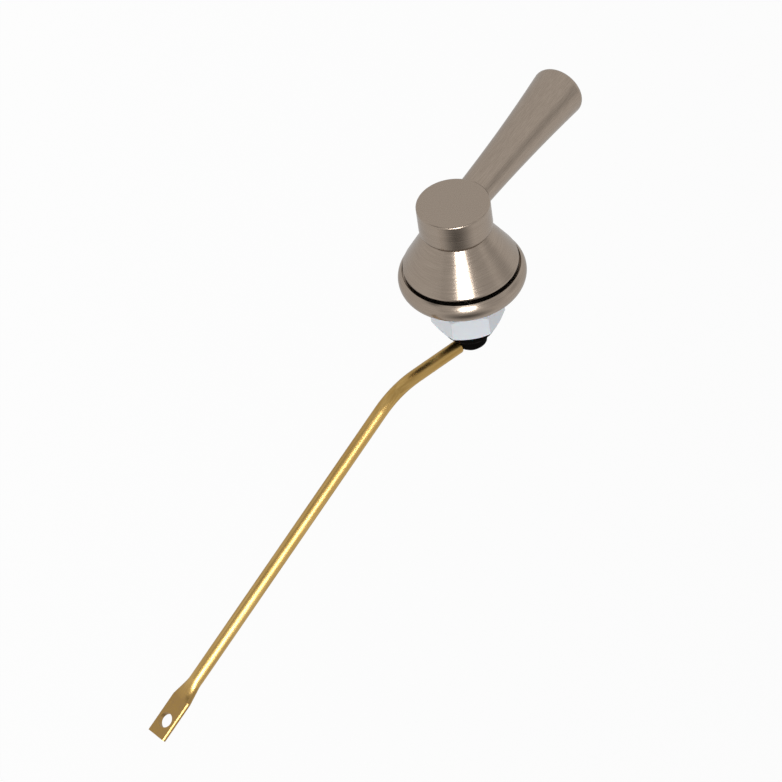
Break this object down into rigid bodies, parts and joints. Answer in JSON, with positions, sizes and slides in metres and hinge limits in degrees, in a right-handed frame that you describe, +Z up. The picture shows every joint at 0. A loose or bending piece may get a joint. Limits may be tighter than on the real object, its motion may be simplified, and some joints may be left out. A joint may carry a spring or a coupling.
{
  "type": "cistern lever",
  "caption": "Toilet tank trip lever: flared handle on a drum and bell skirt, escutcheon ring, threaded shank with hex nut, and a bent brass arm with a drilled flat end.",
  "frame": {"origin": "on the spindle's axis, in the plane of the tank's outer wall face", "axes": "+Y along the spindle into the tank, +Z up, +X to the right as the user faces the tank, so the handle points to -X"},
  "size_m": [0.217, 0.1412, 0.0713],
  "materials": {
    "nickel_handle": "satin brushed nickel plate on die-cast zinc",
    "nickel_bell": "satin brushed nickel plate on die-cast zinc",
    "nickel_ring": "satin brushed nickel plate on die-cast zinc",
    "set_screw_steel": "plain steel",
    "gasket_rubber": "matt black rubber",
    "bushing_black": "moulded black plastic",
    "spindle_black": "moulded black plastic",
    "washer_nylon": "plain nylon",
    "spring_steel": "drawn spring wire",
    "clip_steel": "blackened spring steel",
    "nut_white": "moulded white plastic",
    "arm_brass": "drawn bright brass, lightly scuffed"
  },
  "bodies": {
    "mounting": {"escutcheon": "nickel_ring", "wall_gasket": "gasket_rubber", "bushing": "bushing_black", "thrust_washer": "washer_nylon", "return_spring": "spring_steel", "mounting_nut": "nut_white"},
    "lever": {"handle": "nickel_handle", "handle_set_screw": "set_screw_steel", "bell_skirt": "nickel_bell", "spindle": "spindle_black", "retaining_clip": "clip_steel", "arm": "arm_brass"}
  },
  "joints": [
    {"name": "handle_turn", "type": "hinge", "parent": "mounting", "child": "lever", "pos_m": [0, 0, 0], "axis": [0, -1, 0], "range_deg": [0, 40], "stiffness_Nm_per_rad": 0.08, "springref_deg": -28.65, "deforming": ["return_spring"]}
  ]
}
